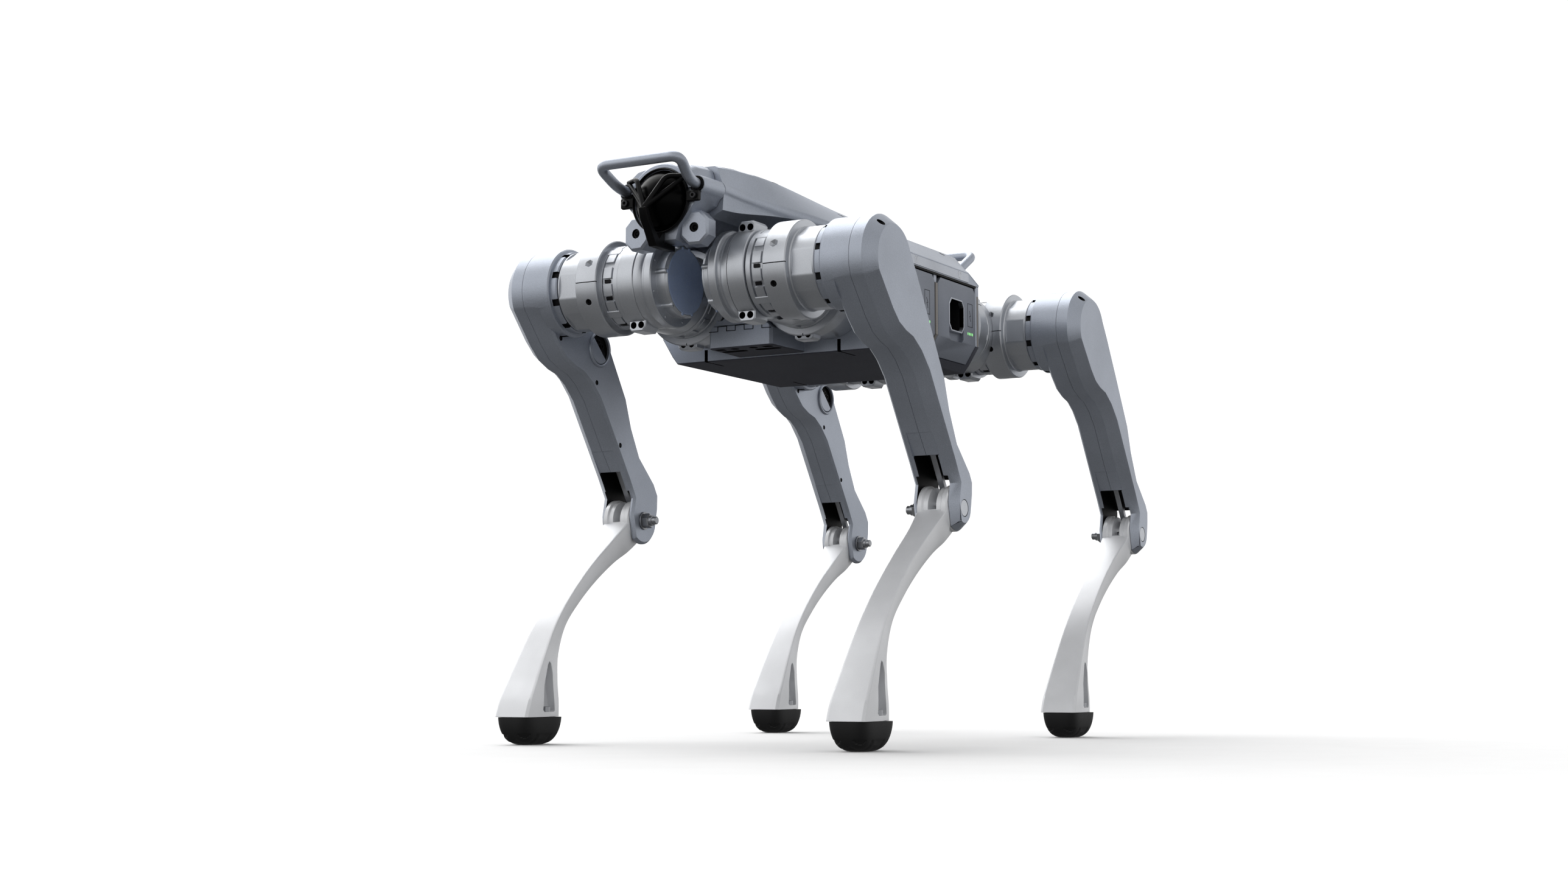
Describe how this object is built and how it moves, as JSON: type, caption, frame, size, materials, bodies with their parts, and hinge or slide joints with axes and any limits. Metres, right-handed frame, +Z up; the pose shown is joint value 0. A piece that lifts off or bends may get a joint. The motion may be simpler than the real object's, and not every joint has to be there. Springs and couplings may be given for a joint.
{
  "type": "quadruped robot dog",
  "caption": "Four-legged walking robot with jointed hip, thigh and knee on every leg, push-rod knees, rubber feet, carrying handles and a domed range sensor in a guard.",
  "frame": {"origin": "on the floor under the middle of the overall box, standing pose", "axes": "+X forward, +Y to the robot's left, +Z up"},
  "size_m": [0.8034, 0.433, 0.5713],
  "materials": {
    "shell": "fine textured satin blue-grey paint on cast alloy",
    "motor_case": "bead-blasted and anodised, warm silver grey",
    "calf_alloy": "fine satin silver paint",
    "foot_rubber": "moulded matt black rubber with a shallow tread",
    "steel": "turned and plated",
    "black_plastic": "moulded, fine grain",
    "sensor_window": "infrared-clear black dome, polished",
    "battery_case": "fine textured dark grey"
  },
  "bodies": {
    "trunk": {"chassis": "shell", "front_cross_member": "shell", "rear_cross_member": "shell", "battery_front": "battery_case", "battery_rear": "battery_case", "side_cover_front": "battery_case", "side_cover_rear": "battery_case", "top_cover": "shell", "head_shell": "shell", "range_sensor": "sensor_window", "sensor_guard": "black_plastic", "camera_left": "shell", "camera_right": "shell", "front_handle": "shell", "rear_handle": "shell", "abduction_motor_fl": "motor_case", "abduction_motor_fr": "motor_case", "abduction_motor_rl": "motor_case", "abduction_motor_rr": "motor_case"},
    "fl_hip": {"fl_hip_bracket": "motor_case", "fl_knee_motor": "motor_case", "fl_thigh_motor": "motor_case"},
    "fl_thigh": {"fl_thigh_inner_shell": "shell", "fl_thigh_cover": "shell", "fl_knee_axle_bolt": "steel"},
    "fl_shank": {"fl_calf": "calf_alloy", "fl_foot": "foot_rubber"},
    "fl_crank": {"fl_knee_crank": "steel"},
    "fl_rod": {"fl_push_rod": "steel"},
    "fr_hip": {"fr_hip_bracket": "motor_case", "fr_knee_motor": "motor_case", "fr_thigh_motor": "motor_case"},
    "fr_thigh": {"fr_thigh_inner_shell": "shell", "fr_thigh_cover": "shell", "fr_knee_axle_bolt": "steel"},
    "fr_shank": {"fr_calf": "calf_alloy", "fr_foot": "foot_rubber"},
    "fr_crank": {"fr_knee_crank": "steel"},
    "fr_rod": {"fr_push_rod": "steel"},
    "rl_hip": {"rl_hip_bracket": "motor_case", "rl_knee_motor": "motor_case", "rl_thigh_motor": "motor_case"},
    "rl_thigh": {"rl_thigh_inner_shell": "shell", "rl_thigh_cover": "shell", "rl_knee_axle_bolt": "steel"},
    "rl_shank": {"rl_calf": "calf_alloy", "rl_foot": "foot_rubber"},
    "rl_crank": {"rl_knee_crank": "steel"},
    "rl_rod": {"rl_push_rod": "steel"},
    "rr_hip": {"rr_hip_bracket": "motor_case", "rr_knee_motor": "motor_case", "rr_thigh_motor": "motor_case"},
    "rr_thigh": {"rr_thigh_inner_shell": "shell", "rr_thigh_cover": "shell", "rr_knee_axle_bolt": "steel"},
    "rr_shank": {"rr_calf": "calf_alloy", "rr_foot": "foot_rubber"},
    "rr_crank": {"rr_knee_crank": "steel"},
    "rr_rod": {"rr_push_rod": "steel"}
  },
  "joints": [
    {"name": "fl_abduction", "type": "hinge", "parent": "trunk", "child": "fl_hip", "pos_m": [0.2783, 0.07, 0.4647], "axis": [1, 0, 0], "range_deg": [-40, 35]},
    {"name": "fl_thigh_pitch", "type": "hinge", "parent": "fl_hip", "child": "fl_thigh", "pos_m": [0.2783, 0.1905, 0.4647], "axis": [0, 1, 0], "range_deg": [-80, 55]},
    {"name": "fl_knee", "type": "hinge", "parent": "fl_thigh", "child": "fl_shank", "pos_m": [0.1273, 0.1905, 0.237], "axis": [0, 1, 0], "range_deg": [-72, 46]},
    {"name": "fl_crank_turn", "type": "hinge", "parent": "fl_thigh", "child": "fl_crank", "pos_m": [0.2783, 0.1905, 0.4647], "axis": [0, 1, 0], "range_deg": [-72, 46]},
    {"name": "fl_rod_turn", "type": "hinge", "parent": "fl_shank", "child": "fl_rod", "pos_m": [0.11682, 0.1905, 0.25039], "axis": [0, 1, 0], "range_deg": [-46, 72]},
    {"name": "fr_abduction", "type": "hinge", "parent": "trunk", "child": "fr_hip", "pos_m": [0.2783, -0.07, 0.4647], "axis": [1, 0, 0], "range_deg": [-35, 40]},
    {"name": "fr_thigh_pitch", "type": "hinge", "parent": "fr_hip", "child": "fr_thigh", "pos_m": [0.2783, -0.1905, 0.4647], "axis": [0, 1, 0], "range_deg": [-80, 55]},
    {"name": "fr_knee", "type": "hinge", "parent": "fr_thigh", "child": "fr_shank", "pos_m": [0.1273, -0.1905, 0.237], "axis": [0, 1, 0], "range_deg": [-72, 46]},
    {"name": "fr_crank_turn", "type": "hinge", "parent": "fr_thigh", "child": "fr_crank", "pos_m": [0.2783, -0.1905, 0.4647], "axis": [0, 1, 0], "range_deg": [-72, 46]},
    {"name": "fr_rod_turn", "type": "hinge", "parent": "fr_shank", "child": "fr_rod", "pos_m": [0.11682, -0.1905, 0.25039], "axis": [0, 1, 0], "range_deg": [-46, 72]},
    {"name": "rl_abduction", "type": "hinge", "parent": "trunk", "child": "rl_hip", "pos_m": [-0.2217, 0.07, 0.4647], "axis": [1, 0, 0], "range_deg": [-40, 35]},
    {"name": "rl_thigh_pitch", "type": "hinge", "parent": "rl_hip", "child": "rl_thigh", "pos_m": [-0.2217, 0.1905, 0.4647], "axis": [0, 1, 0], "range_deg": [-30, 110]},
    {"name": "rl_knee", "type": "hinge", "parent": "rl_thigh", "child": "rl_shank", "pos_m": [-0.3727, 0.1905, 0.237], "axis": [0, 1, 0], "range_deg": [-72, 46]},
    {"name": "rl_crank_turn", "type": "hinge", "parent": "rl_thigh", "child": "rl_crank", "pos_m": [-0.2217, 0.1905, 0.4647], "axis": [0, 1, 0], "range_deg": [-72, 46]},
    {"name": "rl_rod_turn", "type": "hinge", "parent": "rl_shank", "child": "rl_rod", "pos_m": [-0.38318, 0.1905, 0.25039], "axis": [0, 1, 0], "range_deg": [-46, 72]},
    {"name": "rr_abduction", "type": "hinge", "parent": "trunk", "child": "rr_hip", "pos_m": [-0.2217, -0.07, 0.4647], "axis": [1, 0, 0], "range_deg": [-35, 40]},
    {"name": "rr_thigh_pitch", "type": "hinge", "parent": "rr_hip", "child": "rr_thigh", "pos_m": [-0.2217, -0.1905, 0.4647], "axis": [0, 1, 0], "range_deg": [-30, 110]},
    {"name": "rr_knee", "type": "hinge", "parent": "rr_thigh", "child": "rr_shank", "pos_m": [-0.3727, -0.1905, 0.237], "axis": [0, 1, 0], "range_deg": [-72, 46]},
    {"name": "rr_crank_turn", "type": "hinge", "parent": "rr_thigh", "child": "rr_crank", "pos_m": [-0.2217, -0.1905, 0.4647], "axis": [0, 1, 0], "range_deg": [-72, 46]},
    {"name": "rr_rod_turn", "type": "hinge", "parent": "rr_shank", "child": "rr_rod", "pos_m": [-0.38318, -0.1905, 0.25039], "axis": [0, 1, 0], "range_deg": [-46, 72]}
  ],
  "couplings": [
    {"joint": "fl_crank_turn", "follows": "fl_knee", "ratio": 1},
    {"joint": "fl_rod_turn", "follows": "fl_knee", "ratio": -1},
    {"joint": "fr_crank_turn", "follows": "fr_knee", "ratio": 1},
    {"joint": "fr_rod_turn", "follows": "fr_knee", "ratio": -1},
    {"joint": "rl_crank_turn", "follows": "rl_knee", "ratio": 1},
    {"joint": "rl_rod_turn", "follows": "rl_knee", "ratio": -1},
    {"joint": "rr_crank_turn", "follows": "rr_knee", "ratio": 1},
    {"joint": "rr_rod_turn", "follows": "rr_knee", "ratio": -1}
  ]
}
